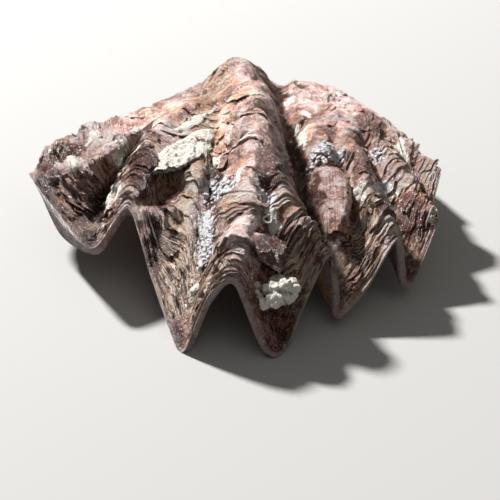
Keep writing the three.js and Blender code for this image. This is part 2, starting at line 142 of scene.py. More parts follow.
# Patches of colour and of calm or craggy surface: middle in mm, half widths, and a turn in
# degrees where there is one. The dark and wine patches are partly painted shade.
PATCHES = {
    "calm": [
        (-2.8, 36, 13, 4.6, 17, 6), (6, 51, 9.5, 8, 6, 4), (-13, 44, 10, 7, 5, 4, 30),
        (8.8, 34.6, 9, 2, 5, 2.4), (5.4, 41.6, 9.4, 3.4, 3, 2.4), (-3.4, 16.2, 10, 3, 2.4, 1.6),
        (13.8, 28.2, 6.4, 2, 3.4, 1.8),
    ],
    # Lined patches raise the fine laminae, and in the material they carry painted light and shade stripes
    "lined": [
        (2.6, 14.8, 7.2, 3.4, 3.6, 3.6), (8.6, 21.4, 5.4, 2.4, 5, 3), (-10, 17.5, 4.5, 3.2, 6.5, 4.5),
        (-5.6, 12.6, 5, 3, 3.6, 4),
    ],
    "craggy": [
        (-20.8, 26.6, 6.8, 4.4, 8.5, 4.2, 32), (-11.2, 28.2, 8, 3.4, 3.4, 3), (-7.5, 35, 11, 3, 6, 3),
    ],
    "cream": [
        (-9.8, 32.6, 10.4, 3.4, 1.6, 1.6, 38), (-9.3, 39.6, 11.2, 4.2, 0.8, 3, 38),
        (-16.4, 27.2, 7.8, 1, 2, 2.4, -12), (-16.6, 33.6, 8.6, 1, 1.3, 2), (-20.7, 31.5, 9.4, 1.2, 1, 2),
        (-0.3, 18, 9.8, 0.9, 1.2, 1.2), (0.5, 12.4, 6.9, 0.6, 0.35, 0.5), (8.7, 28.4, 7.8, 0.7, 1.2, 2),
        (5.8, 21.4, 6.2, 1, 0.7, 0.8), (-6.4, 29.6, 11, 0.9, 1.4, 2), (-8.1, 15.6, 2.8, 0.9, 1.2, 1.4),
        (-19.7, 38.8, 8.8, 1.8, 0.9, 1.5, 20), (13.6, 40.3, 7.6, 0.9, 2.6, 2, 10),
        (3.6, 47, 9.3, 0.5, 1.6, 1.2), (2.4, 41.2, 9, 0.9, 4, 2), (15.8, 25.4, 6.4, 0.8, 1, 1.6),
    ],
    "crystal": [
        (5, 35.4, 9.6, 2.4, 1.6, 1.6), (-6.6, 20.6, 6.4, 1.5, 5.2, 3, -4), (-7.1, 27.2, 8.4, 1.6, 1.8, 2),
        (10.9, 37.8, 8, 1.1, 1.4, 2), (11.2, 30.2, 7, 1.6, 3.6, 2), (-1, 19.6, 11, 1, 0.9, 1.6),
        (-4.2, 23.2, 11.4, 1.3, 1.5, 2), (-5.6, 24.6, 10, 1.2, 2, 2),
    ],
    # Dark patches: partly the shell's own dark colour, partly painted shade on faces turned from the light
    "dark": [
        (-20.8, 26.6, 6.8, 4.6, 9.5, 4.2, 32), (-22.6, 28, 5, 5, 6.5, 3.6, 20),
        (-19.6, 22.4, 5.6, 3.4, 4.4, 3.4, 30), (2.6, 37, 8.2, 0.9, 3.6, 1.6), (7, 36, 8.6, 1.2, 1.8, 1.2),
        (-0.2, 23.8, 12.6, 2, 4.4, 1.7), (-6.1, 27, 9.6, 1, 2.6, 1.8), (-12.6, 20.6, 6, 1.5, 4.6, 4.5, -10),
        (-1, 15.2, 8.2, 1.3, 3, 3, -15), (1.2, 36, 9, 1.6, 14, 3.4, 8), (0.6, 40, 12.4, 1.2, 6, 2.4, 6),
        (0.9, 30, 11.8, 1.2, 6, 2.4), (10.9, 45, 9, 2.2, 5, 2),
    ],
    "pink": [
        (-2.6, 33, 14.2, 1.9, 9, 2.2), (6, 52.6, 9.2, 6.4, 5, 3), (12, 49, 8, 4.6, 5.4, 3, -30),
        (-19.4, 40.6, 8.8, 3.2, 2.4, 2, -30), (-3.4, 16, 10, 3.2, 2.8, 2.2), (9, 47.5, 9.3, 4.6, 5, 3),
        (-3, 21, 12, 1.5, 3.2, 2), (-26, 32.8, 7.4, 2, 2, 2), (-3, 47, 14, 2.6, 4.6, 2.5),
        (5.8, 30.4, 8.2, 1.8, 3, 1.6), (-21, 41, 8.6, 3.6, 2.4, 2, 20), (-1.6, 25, 13, 2.2, 4, 2),
        (-17.6, 38, 9.4, 3, 2.4, 2), (-14.7, 39.2, 10.1, 2.6, 2.2, 1.6),
    ],
    "radial": [
        (13.4, 42, 7.6, 3.4, 8, 3.4), (10.6, 33, 8, 1.6, 5, 2.4),
    ],
    # Wine patches: the shell's own deep red-brown, partly painted shade on flanks turned from the light
    "wine_and_shade": [
        (-0.6, 24.4, 13.1, 2, 3.2, 1.7), (-22.6, 36.6, 8.2, 3.2, 1.7, 1.4, 15),
        (-13.6, 29, 10, 1.6, 5.6, 2.4), (-0.9, 22, 12.2, 1.8, 1.7, 1.4), (13.6, 28.2, 6.3, 1.7, 2.8, 1.6),
        (8.8, 34.4, 9, 1.5, 4.4, 1.8), (-0.3, 14.4, 8.3, 2.6, 2.8, 2.2), (4.2, 28.6, 7.6, 0.9, 4.4, 1.6),
        (-3.4, 38, 14.4, 2.2, 0.6, 1, 10), (-2.3, 33, 14.3, 1.9, 0.9, 1.1, 12),
        (-1.7, 29.2, 14, 2, 1.1, 1.2, 8), (0.3, 32, 12.2, 1.2, 9, 2.4, 4), (13.6, 26.6, 5.7, 1.8, 3, 2),
        (-14, 33, 10, 1.3, 3, 1.5), (-23.4, 32.4, 9.2, 2.6, 1, 1.4), (-12.9, 22.6, 8.4, 1.6, 1, 1.4),
        (5.4, 41.4, 9.6, 1.6, 1.8, 1.2), (-12.6, 18, 4.6, 1.5, 6.5, 4.4, -12),
        (2.2, 15.4, 8.8, 1.6, 1.1, 2), (10.9, 23.6, 8.4, 1.4, 1.6, 1.4),
    ],
    "orange": [
        (-7.2, 46.8, 12.2, 2.6, 6.4, 3), (-6.9, 35.6, 11.4, 2.4, 5.6, 2.6), (-9.6, 22, 7, 1.5, 4.4, 3, -12),
        (9.6, 23, 8.4, 1.9, 2.4, 1.8), (-4, 38.9, 13.8, 2.4, 0.9, 1.6, 10), (2.8, 41.6, 9.3, 1.6, 1.8, 1.6),
        (-8.1, 27.6, 9.8, 1.4, 3.2, 1.8), (-4.6, 20.2, 10.4, 3, 1.1, 2, -12), (3.4, 14.6, 5.6, 1.5, 3, 3),
        (-11.2, 28.6, 7.8, 2.6, 3, 3), (-10.4, 21.8, 6.8, 1.8, 3.2, 2.4), (-9.8, 16.4, 4.2, 1.9, 4.8, 3.6),
    ],
}

# Swells that round the folds and knobs off: middle in mm, half widths, height
SWELLS = [
    (2.5, 16.2, 8.9, 1.9, 2.2, 2, 0.8), (-13.2, 28.6, 9.3, 1.7, 5.4, 2.6, 1),
    (-8.3, 28.2, 9.2, 1.2, 3, 2.2, 0.6), (4.3, 28.6, 6.4, 1, 5, 1.6, 0.7), (7.2, 28.8, 6.8, 1, 4, 1.6, 0.7),
    (-22.8, 40.4, 8.2, 1.5, 1.3, 1.6, 0.6), (-20.3, 42, 8.4, 1.3, 1.3, 1.6, 0.5),
    (-17.6, 43.8, 8.6, 1.5, 1.2, 1.6, 0.5), (-24.6, 33, 8, 1.6, 1.4, 1.8, 0.5),
    (-21.5, 37.4, 8.6, 1.3, 1.1, 1.6, 0.25), (-19.3, 39.4, 9, 1.3, 1.1, 1.6, 0.35),
    (-17.6, 41, 9.2, 1.2, 0.9, 1.6, 0.35), (-19.2, 36.4, 9, 1.3, 1.1, 1.6, 0.35),
    (-17, 37.6, 9.6, 1.1, 0.9, 1.6, 0.35), (-20.6, 31.4, 9.4, 1.5, 1.2, 1.4, 0.5),
    (5.4, 33.6, 9, 2.6, 0.6, 2.2, -0.6), (-2.6, 32.4, 13.6, 2.6, 1.9, 2, 0.4),
    (-2, 27.8, 13.2, 2.4, 1.9, 2, 0.45), (-1.9, 23, 12.2, 2.2, 1.7, 2, 0.5),
    (8.6, 41.4, 9.6, 2.2, 2.2, 2, 0.6), (5.2, 40.6, 9.4, 1.9, 1.9, 2, 0.35),
    (9.2, 35.2, 8.8, 1.4, 2.8, 2, 0.5), (10.9, 23.8, 8.2, 1.5, 2, 2, 0.5),
    (13.8, 28.6, 6.6, 1.5, 2.4, 2, 0.4), (-3.9, 15.6, 10, 2, 1.6, 2, 0.4),
]

# What the material reads at each point: plain facts, and the shares of the patches
PLAIN_FACTS = ("fold", "edge", "ledge", "shaded_drop", "crease", "tint", "inside", "rim")
PAINTED = ("cream", "crystal", "dark", "pink", "radial", "wine_and_shade", "orange", "calm", "lined")
WANDER = 0.7
WANDER_SEEDS = (51, 52, 53)

# Steps of the fine grids, in mm
PLATE_STEP = 0.16
PANEL_STEP = 0.12
CRUST_STEP = 0.13

# Broken plates in mm: how far their backs and undersides sink into the skin, how ragged and undercut
# their front edges are, and the drop and edge facts of the points from the edge downwards; the drop
# facts are painted shade, deepening down the riser and under the plate
PLATE_SINK = 0.12
PLATE_RAGGED = 0.35
PLATE_UNDERCUT = 0.35
RISER_DEPTHS = (0.35, 0.7, 1.05)
PLATE_SHADED_DROP = (0.35, 0.7, 1, 1, 1)
PLATE_EDGE = (0.5, 0.1, 0, 0, 0)
TINT_STEP = 78.233
PLATE_SEED = 5000

# Scattered plates: u range, v range, count, and width, length and height
PLATE_ZONES = {
    "left_plates": [
        ((3.6, 7), (0.5, 0.95), 24, (2, 1.4, 0.24)), ((6.6, 8.6), (0.6, 0.97), 26, (1.8, 1.2, 0.3)),
        ((8.6, 12), (0.35, 0.97), 30, (2, 1.4, 0.22)),
    ],
    "keel_plates": [
        ((12, 13.2), (0.3, 0.7), 12, (2, 1.4, 0.18)), ((12.3, 16.6), (0.76, 0.99), 36, (2.2, 0.9, 0.2)),
    ],
    "right_plates": [
        ((18.5, 26.5), (0.4, 0.62), 18, (1.8, 1.6, 0.16)),
        ((17.6, 24.8), (0.62, 0.97), 50, (1.8, 1.6, 0.24)),
    ],
}

# A stretch of the fan without scattered plates: first and last u, and the v that it reaches
BARE = (18.2, 20.1, 0.87)

# Chosen plates: u, v of the front edge, width, length, height, bluntness
PLATES = {
    "left_plates": [
        (10.2, 0.885, 5.4, 1.6, 0.45, 3), (9.6, 0.93, 3.6, 2.2, 0.3, 3), (4.6, 0.9, 3.6, 2.4, 0.4, 3),
        (6.1, 0.86, 4.4, 2.2, 0.3, 3), (11.1, 0.73, 2.2, 5, 0.4, 3), (11.4, 0.62, 2.6, 3, 0.3, 3),
    ],
    "keel_plates": [
        (13.8, 0.335, 5, 3.4, 0.26, 6), (14.4, 0.45, 4.6, 3, 0.14, 6), (13.9, 0.555, 5.8, 2.4, 0.2, 6),
        (12.5, 0.6, 2.2, 2.2, 0.3, 1.7), (14.9, 0.655, 3, 1.8, 0.12, 5), (13.8, 0.87, 4.6, 3.2, 0.4, 4),
    ],
    "right_plates": [
        (20.7, 0.9, 3.4, 2.6, 0.45, 2.4), (22.7, 0.86, 2.8, 1.4, 0.2, 4), (25, 0.94, 3, 3, 0.22, 3),
        (23.4, 0.7, 3, 4, 0.25, 3),
    ],
}

# Stacks of thin arched plates over a crest: u, first and last v, count, width, length, height
STACK_BLUNTNESS = 3
STACK_SEED = 7000
STACKS = {
    "left_plates": [(9.7, 0.9, 0.985, 6, 3.6, 1, 0.2), (7.1, 0.74, 0.97, 8, 5.4, 1.1, 0.42),
                    (10.9, 0.74, 0.97, 8, 3, 1.2, 0.2)],
    "keel_plates": [(13.7, 0.88, 0.985, 7, 5, 0.9, 0.24), (15.75, 0.8, 0.985, 15, 8, 1.1, 0.55),
                    (14.7, 0.84, 0.98, 6, 2.6, 0.9, 0.2), (15.45, 0.8, 0.985, 16, 6, 0.8, 0.35)],
    "right_plates": [(20.8, 0.8, 0.98, 7, 3, 1.2, 0.2), (22.6, 0.75, 0.98, 6, 3, 1.2, 0.14),
                     (19.6, 0.86, 0.985, 8, 2.6, 1, 0.2)],
}

# Broken panels that stand clear of the skin: rows of points in mm from back to front, thickness,
# and whether the grain runs from back to front
PANEL_RAGGED = 0.6
PANELS = {
    "tongue": ([
        [(3.4, 33.4, 7.6), (4.3, 33.2, 8.7), (6.5, 32.8, 8.9), (7.7, 32, 8)],
        [(3.6, 30.4, 7.1), (4.4, 29.8, 8.3), (7, 29.2, 8.7), (8.1, 29.9, 7.2)],
        [(4.1, 27.2, 6.5), (4.8, 26.4, 7.7), (6.9, 25.6, 8.4), (7.9, 26.5, 6.7)],
        [(4.5, 24.9, 6.1), (5.1, 23.9, 7.1), (6.6, 23.2, 7.8), (7.4, 24.5, 6.3)],
        [(4.9, 23.5, 5.7), (5.4, 22.1, 6.4), (6.1, 21.7, 6.8), (6.8, 23.1, 5.8)],
    ], 0.5, True),
    "gutter_roof": ([
        [(-3, 16.6, 10.2), (-1.4, 17.2, 9.7), (0.1, 17.2, 9.2), (1.5, 16.6, 9)],
        [(-2.9, 14.6, 9.8), (-1.4, 14.1, 9.5), (-0.1, 14.1, 9), (1.4, 14.9, 8.5)],
        [(-2.3, 13.4, 9), (-1.1, 12.9, 8.8), (0.05, 12.9, 8.3), (1.3, 14.1, 7.9)],
        [(-1.6, 12.9, 8.1), (-0.5, 12.4, 7.8), (0.5, 12.1, 7.3), (1.2, 13.5, 7.3)],
    ], 0.3, False),
}

# The shelf of cream sediment over the cavity: rows of points in mm from back to front
SHELF_RAGGED = 1.5
SHELF_THICKNESS = 0.6
SHELF_SEED = 9
SHELF = [
    [(-13, 31.6, 10.2), (-11.4, 33, 10.9), (-9.8, 34.6, 11.2), (-8.4, 36.4, 11.4), (-6.6, 37.4, 11.4)],
    [(-13, 29.9, 10.1), (-11.3, 30.6, 10.7), (-9.8, 31.8, 11), (-8.2, 33.4, 11.2), (-6.4, 35.2, 11.2)],
    [(-12.9, 28.2, 9.9), (-11.2, 28.2, 10.2), (-9.7, 28.6, 10.5), (-8.1, 29.9, 10.7), (-6.6, 32.6, 10.9)],
]

# Cemented sediment: middle (u, v), half sizes along the margin and along growth, turn, thickness,
# and how cleanly it covers the skin
CRUST_DEPTH = 0.35
CRUSTS = [
    ((10.55, 0.44), (3.2, 0.8), 42, 0.45, 1), ((8.35, 0.82), (1, 2.4), 0, 0.45, 0.5),
    ((15.15, 0.765), (0.8, 1.5), 0, 0.3, 0.9), ((7.3, 0.64), (0.9, 0.8), 0, 0.4, 1),
    ((5.95, 0.79), (1.5, 0.6), 0, 0.35, 0.9), ((20.5, 0.76), (0.6, 0.7), 0, 0.4, 1),
    ((12.2, 0.575), (0.5, 0.9), 20, 0.35, 1), ((12.1, 0.87), (0.7, 0.7), 0, 0.4, 1),
]

# Lumps of sediment that fill the front gutter: middle in mm, radius
LUMP_GRID = (44, 28)
GUTTER_LUMPS = [
    (-2, 12.6, 6.5, 0.35), (-1.75, 11.7, 6.1, 0.3), (-1.5, 10.9, 5.6, 0.3), (-0.6, 11.2, 6, 0.5),
    (0.15, 10.9, 6.2, 0.7), (0.9, 10.9, 6.3, 0.7), (1.6, 11, 6.1, 0.5), (1.2, 10.1, 5.7, 0.5),
    (0.35, 10.1, 5.6, 0.6), (-0.4, 10.4, 5.5, 0.45), (-1.1, 10.1, 5.1, 0.3), (1.6, 11.9, 6.4, 0.4),
    (0.3, 12.2, 5.4, 1.05), (-0.8, 12.3, 5.2, 0.6), (1.2, 12.2, 5.4, 0.85),
]

# Rings of shell left by small worms: middle in mm, radius, tube radius, tilt
RING_GRID = (40, 10)
RINGS = [((-0.75, 17.5, 10.15), 0.4, 0.11, 0.5), ((-0.25, 18.2, 10.25), 0.42, 0.09, 0.5)]

# Crystals: the way that most of them face, and per patch the middle (u, v), half sizes along the margin
# and along growth, count, size
CRYSTAL_TILT = np.array([-0.36, -0.2, 0.91])
CRYSTALS = [
    ((19.2, 0.612), (2, 1.5), 80, 0.62), ((20, 0.615), (1, 1), 24, 0.6),
    ((12.3, 0.79), (0.9, 3.4), 110, 0.6), ((11.7, 0.69), (1, 1), 26, 0.6),
    ((22.5, 0.66), (0.4, 0.9), 10, 0.6), ((22, 0.755), (0.6, 2.2), 26, 0.45),
    ((15, 0.71), (0.7, 0.6), 14, 0.5), ((12.9, 0.68), (1.6, 1.6), 22, 0.5),
    ((12.4, 0.66), (1.2, 2), 20, 0.5),
]

# Tones: two scales of stops from dark to light, and single tones and pairs
MAUVE_TONES = (
    (0, (0.04, 0.013, 0.009)), (0.22, (0.15, 0.054, 0.039)), (0.4, (0.315, 0.145, 0.105)),
    (0.58, (0.45, 0.283, 0.248)), (0.76, (0.55, 0.42, 0.4)), (0.95, (0.71, 0.625, 0.61)),
)
TAN_TONES = (
    (0, (0.045, 0.016, 0.009)), (0.22, (0.19, 0.072, 0.034)), (0.42, (0.43, 0.2, 0.1)),
    (0.6, (0.55, 0.34, 0.225)), (0.78, (0.62, 0.475, 0.375)), (0.95, (0.75, 0.675, 0.58)),
)
# Deep red-brown of the wine patches: partly the shell's own colour, partly painted shade
WINE_AND_SHADE_TONE = (0.085, 0.027, 0.019)
# Pale lines along the laminae: partly the edges' own cream colour, partly painted highlight on lit edges
THREAD_AND_HIGHLIGHT_TONE = (0.84, 0.71, 0.58)
RIM_TONE = (0.5, 0.41, 0.41)
GLINT_TONE = (0.96, 0.93, 0.9)
CRYSTAL_TONES = ((0.66, 0.65, 0.7), (0.96, 0.96, 0.98))
CREAM_TONES = ((0.84, 0.76, 0.6), (0.98, 0.96, 0.87))
# The inner surface: an orange-brown brightened as painted bounce light, and its own blue-grey
HOLLOW_AND_BOUNCE_TONES = ((0.7, 0.33, 0.16), (0.24, 0.24, 0.26))
GRAIN_DEPTH = 0.75

# How much of each patch has to cover a point for its full effect
PATCH_REACHES = {
    "calm": 0.4, "lined": 0.4, "radial": 0.4, "pink": 0.6, "dark": 0.5, "wine_and_shade": 0.5, "orange": 0.5,
}

# Stage: the floor's half width in metres, and lights by direction, distance, size, power and tone
FLOOR_REACH = 1.5
FLOOR_TONE = (0.29, 0.29, 0.285)
FLOOR_ROUGHNESS = 0.9
SKY_TONE = (1, 0.955, 0.915)
SKY_STRENGTH = 0.235
LIGHTS = {
    "key": ((-0.711, 0.807, 1), 0.8, 0.09, 22.8, (1, 0.98, 0.965)),
    "fill": ((0.5, -1, 1.3), 0.9, 0.8, 1, SKY_TONE),
}

# Camera: place in mm, turns in degrees, lens in mm
CAMERA_PLACE = (-0.697, -106.558, 71.324)
CAMERA_TURN = (62.534, -0.351, 0.982)
CAMERA_LENS = 104.95


def smoothstep(x, low, high):
    t = np.clip((x - low) / (high - low), 0, 1)
    return t * t * (3 - 2 * t)


def stacked(*parts):
    """Joins arrays and plain numbers along a new last axis."""
    return np.stack(np.broadcast_arrays(*parts), axis=-1)


def beside(*parts):
    """Joins grids by lengthening their rows."""
    return np.concatenate(parts, axis=1)


def spin(x, y, angle):
    return x * math.cos(angle) + y * math.sin(angle), y * math.cos(angle) - x * math.sin(angle)


def unit(vectors):
    return vectors / np.maximum(np.linalg.norm(vectors, axis=-1, keepdims=True), 1e-12)


# Seeded value noise, from -1 to 1


def lattice(i, j, k, seed):
    n = (i.astype(np.uint32) * np.uint32(374761393) + j.astype(np.uint32) * np.uint32(668265263)
         + k.astype(np.uint32) * np.uint32(2246822519) + np.uint32(seed * 326648991 % 4294967291))
    n = (n ^ (n >> np.uint32(13))) * np.uint32(1274126177)
    n = n ^ (n >> np.uint32(16))
    return n / 2147483647.5 - 1


def noise(points, scale, seed):
    place = points / scale
    cell = np.floor(place)
    t = place - cell
    t = t * t * (3 - 2 * t)
    i, j, k = (cell[..., n].astype(np.int64) for n in range(3))
    total = 0
    for a in (0, 1):
        for b in (0, 1):
            for c in (0, 1):
                weight = ((t[..., 0] if a else 1 - t[..., 0]) * (t[..., 1] if b else 1 - t[..., 1])
                          * (t[..., 2] if c else 1 - t[..., 2]))
                total = total + weight * lattice(i + a, j + b, k + c, seed)
    return total


def fractal(points, scale, octaves, seed):
    total, size = 0, 1.0
    for octave in range(octaves):
        total = total + size * noise(points, scale, seed + 31 * octave)
        scale, size = scale * 0.5, size * 0.55
    return total


def patch_share(kind, points):
    """How strongly the patches of one kind cover each point: 1 in the middle of one, 0 outside them."""
    share = np.zeros(points.shape[:-1])
    for *middle, half_x, half_y, half_z, turn in ((*patch, 0)[:7] for patch in PATCHES[kind]):
        x, y, z = np.moveaxis(points - np.array(middle), -1, 0)
        across, along = spin(x, y, math.radians(turn))
        covered = 1 - (across / half_x) ** 2 - (along / half_y) ** 2 - (z / half_z) ** 2
        share = np.maximum(share, covered)
    return share


def patch_cover(kind, points, reach):
    return smoothstep(patch_share(kind, points), 0, reach)


# The sheet and what lies on it


def hermite(a, b, c, d, t, roundness):
    t = t[..., None]
    t2, t3 = t * t, t * t * t
    return ((2 * t3 - 3 * t2 + 1) * b + (t3 - 2 * t2 + t) * roundness * (c - a)
            + (3 * t2 - 2 * t3) * c + (t3 - t2) * roundness * (d - b))


def along_line(line, v):
    place = np.minimum(v * STATIONS, STATIONS - 1e-9)
    k = np.floor(place).astype(int)
    before = STOPS[line, np.maximum(k - 1, 0)]
    after = STOPS[line, np.minimum(k + 2, STATIONS)]
    return hermite(before, STOPS[line, k], STOPS[line, k + 1], after, place - k, 0.5)


def sheet(u, v):
    """Points of the folded sheet: u counts lines round the fan, v runs from the umbo to the margin."""
    u, v = np.broadcast_arrays(u, v)
    k = np.floor(u).astype(int)
    a, b, c, d = (along_line((k + i) % LINE_COUNT, v) for i in (-1, 0, 1, 2))
    return hermite(a, b, c, d, u - k, FOLD_ROUNDNESS)


def directions(u, v, step_u=0.3, step_v=0.02):
    """Unit vectors along the growth direction and out of the sheet."""
    low, high = np.maximum(v - step_v, 0.01), np.minimum(v + step_v, 1)
    along = sheet(u, high) - sheet(u, low)
    across = sheet(u + step_u, v) - sheet(u - step_u, v)
    return unit(along), unit(np.cross(along, across))


def metrics(u, v):
    """Millimetres per step of u and of v at one place."""
    u, v = np.array(u), np.array(v)
    across = sheet(u + METRIC_STEP_U, v) - sheet(u - METRIC_STEP_U, v)
    along = sheet(u, v + METRIC_STEP_V) - sheet(u, v - METRIC_STEP_V)
    return np.linalg.norm(across) / (2 * METRIC_STEP_U), np.linalg.norm(along) / (2 * METRIC_STEP_V)


def lump_share(lump, points, spread=1):
    x, y, half_x, half_y, turn, height = lump
    across, along = spin(points[..., 0] - x, points[..., 1] - y, math.radians(turn))
    across, along = across / (half_x * spread), along / (half_y * spread)
    return height * np.maximum(0, 1 - across ** 2 - along ** 2)


def lump_height(points):
    return sum(lump_share(lump, points) for lump in LUMPS)


def pit_depth(points):
    return sum(np.minimum(0, lump_share(lump, points, PIT_CLEARANCE)) for lump in LUMPS)


def hang_at(u):
    k = np.floor(u).astype(int)
    here, after = HANGS[k % LINE_COUNT], HANGS[(k + 1) % LINE_COUNT]
    return here + (after - here) * smoothstep(u - k, 0, 1)


def inner_point(u, v):
    smooth = np.minimum(1, (1 - v) * HOLLOW_SMOOTHING)
    points = sheet(u, v)
    taps = np.linspace(-HOLLOW_SPREAD, HOLLOW_SPREAD, 9)
    lowest = np.min([sheet(u + tap, v)[..., 2] for tap in taps], axis=0)
    thickness = RIM_THICKNESS + (CORE_THICKNESS - RIM_THICKNESS) * smooth
    square = (MARGIN_SQUARENESS * (1 - smooth))[..., None]
    inward = unit(unit(HOLLOW_CENTRE - points) * (1 - square) - directions(u, v, 0.5)[1] * square)
    points[..., 2] -= (points[..., 2] - lowest) * smooth
    points[..., 2] += pit_depth(points)
    points = points + inward * thickness[..., None]
    points[..., 2] -= hang_at(u) * np.maximum(0, 1 - (1 - v) * HANG_REACH)
    return points


def swell_height(points):
    total = np.zeros(points.shape[:-1])
    for *place, height in SWELLS:
        middle, half = np.array(place[:3]), np.array(place[3:])
        far = ((points - middle) / half) ** 2
        total = total + height * smoothstep(1 - far.sum(axis=-1), 0, 1)
    return total


def foldness(u, v):
    """How far a point stands above its neighbours round the fan: crests positive, grooves negative."""
    here = sheet(u, v)[..., 2]
    beside = (sheet(u - 1, v)[..., 2] + sheet(u + 1, v)[..., 2]) / 2
    return here - beside


LEDGE_ENDS = np.array([((k + 1) / (LEDGE_COUNT + 0.6)) ** LEDGE_SPACING for k in range(LEDGE_COUNT)])


def growth_warp(u, w, points):
    """How far the laminae wander from even growth."""
    rank = np.maximum(w, 0.01) ** (1 / LEDGE_SPACING) * (LEDGE_COUNT + 0.6) - 1
    wave = LEDGE_WOBBLE * (np.sin(u * WAVES[0] + rank * 2.3) + np.sin(u * WAVES[1] + rank * 1.1))
    ragged = 0.012 * noise(points, 2.2, 11) + 0.008 * noise(points, 0.9, 12)
    return (wave + ragged) * smoothstep(w, 0.03, 0.2) * smoothstep(1 - w, 0, 0.07)


def ledge_lift(w):
    """Climb of the growth ledges, from 0 behind each ledge to 1 at its lip."""
    stops = np.concatenate([[0], LEDGE_ENDS, [1.6]])
    k = np.searchsorted(stops, w, side="left").clip(1, len(stops) - 1)
    return ((w - stops[k - 1]) / (stops[k] - stops[k - 1])) ** 2


def lamina_region(v, points):
    """Where the fine laminae show: strongly towards the margin, in bands and patches elsewhere."""
    strength = np.clip(smoothstep(v, 0.62, 0.9) + 0.25 + 0.9 * noise(points, 5, 27), 0.05, 1.2)
    strength = strength + 0.8 * patch_cover("lined", points, 0.5)
    return strength * (1 - 0.75 * patch_cover("calm", points, 0.4))


def surface(u, v):
    """The sheet with its lumps, growth ledges and uneven grain.

    Returns points, growth directions, normals, foldness, ledge heights and creases.
    """
    points = sheet(u, v)
    fold = foldness(u, v)
    along, normal = directions(u, v)
    w = v + growth_warp(u, v, points)
    fade = np.clip(0.55 + 0.35 * np.sin(u * WAVES[2] + v * 29) + 0.7 * noise(points, 4, 22), 0, 1.3)
    rim = smoothstep(1 - v, 0, RIM_FADE)
    keep = smoothstep(v, 0.08, 0.3) * rim * (1 - 0.65 * smoothstep(-fold, 0.3, 1.6))
    calm = patch_cover("calm", points, 0.4)
    ledge = ledge_lift(w)
    rounded = np.sin(math.pi * np.sqrt(ledge.clip(0, 1))) ** 0.7
    ledge = (ledge + (1.7 * rounded - 1.3 - ledge) * calm) * fade
    rough = 0.17 * fractal(points, 1.7, 4, 23) + 0.26 * noise(points, 3.4, 24)
    craggy = patch_cover("craggy", points, 0.3)
    crags = 0.3 * np.abs(noise(points, 0.75, 28))
    crags = crags * np.maximum(smoothstep(noise(points, 2.4, 29), -0.1, 0.4), craggy)
    crags = crags * (1 - 0.8 * calm) + 0.35 * craggy * np.abs(noise(points, 1.9, 30))
    lift = LEDGE_HEIGHT * ledge * keep + (rough + crags) * rim * smoothstep(v, 0.02, 0.1)
    lift = lift + swell_height(points) * rim
    placed = points + normal * lift[..., None]
    placed[..., 2] += lump_height(points)
    crease = calm * (1 - smoothstep(rounded, 0.1, 0.55)) * keep * np.clip(fade, 0, 1)
    return placed, along, normal, fold, ledge * keep, crease


def paint(points, facts):
    """Adds how strongly each kind of patch covers each point, with the patches' outlines made uneven."""
    moved = points + WANDER * stacked(*(fractal(points, 1.6, 3, seed) for seed in WANDER_SEEDS))
    for kind in PAINTED:
        facts[kind] = patch_share(kind, moved)
    return facts


def growth_rows():
    """Rows of the skin: growth share, lift of the lamina and number of the lamina."""
    rng = np.random.default_rng(SEED)
    rows, start, number = [(FIRST_ROW, 0, 0)], FIRST_ROW, 0
    for end in [*LEDGE_ENDS, 1]:
        count = LAMINAE_PER_LEDGE if end < 1 else LAMINAE_PAST_LAST
        cuts = np.linspace(0, 1, count + 1)
        cuts[1:-1] += rng.uniform(-0.42, 0.42, count - 1) / count
        for low, high in zip(cuts[:-1], cuts[1:]):
            number += 1
            for share in (0.06, 0.7, 1):
                place = low + (high - low) * share
                rows.append((start + (end - start) * place, share ** 1.4, number))
        start = end
    return np.array(rows)


def column_places():
    """Places round the fan, closer where the margin is long."""
    fine = np.linspace(0, LINE_COUNT, LINE_COUNT * 40 + 1)
    edge = sheet(fine % LINE_COUNT, np.full(fine.shape, 0.9))
    run = np.concatenate([[0], np.cumsum(np.linalg.norm(np.diff(edge, axis=0), axis=1))])
    return np.interp(np.arange(COLUMNS) / COLUMNS * run[-1], run, fine)


def skin_surface(u, rows):
    """The outer surface, and what the material needs to know about each point."""
    w, lamina_lift, number = (rows[:, n][None, :] for n in range(3))
    u = u[:, None]
    v = np.clip(w - growth_warp(u, w, sheet(u, w)), 0.005, 1)
    points, along, normal, fold, ledge, crease = surface(u, v)
    rim = smoothstep(1 - w, 0, RIM_FADE)
    keep = smoothstep(w, 0.06, 0.2) * rim * (1 - 0.6 * smoothstep(-fold, 0.3, 1.6))
    apart = points + number[..., None] * np.array([3.7, 1.9, 5.3])
    strength = np.clip(0.25 + 1.2 * noise(apart, 3, 21) + 0.5 * noise(points, 6, 25), 0, 1.3)
    strength = strength * lamina_region(v, points)
    lift = LAMINA_HEIGHT * strength * lamina_lift * keep
    overhang = LAMINA_OVERHANG * (lamina_lift >= 0.999) * strength * keep
    points = points + normal * lift[..., None] + along * overhang[..., None]
    facts = {
        "fold": fold,
        "edge": smoothstep(lamina_lift + 0 * u, 0.75, 1) * np.clip(strength, 0, 1),
        "ledge": smoothstep(ledge, 0.45, 0.9),
        # painted shade at the foot of each lamina and in the creases between rounded ledges
        "shaded_drop": np.maximum((lamina_lift < 0.02) * np.clip(strength, 0, 1), crease * 0.5),
        "crease": crease,
        "rim": smoothstep(v, *RIM_REACH),
        "growth": v,
        "around": u + 0 * v,
        "tint": noise(points, 2.6, 26),
    }
    return points, paint(points, facts)


def to_part(points):
    """Moves mm points to the part's frame, kept inside its box, in metres."""
    placed = (points.reshape(-1, 3) + ORIGIN_SHIFT) * MM
    low, high = np.array(CAD_BOX[0]), np.array(CAD_BOX[1])
    return np.clip(placed, low, high)


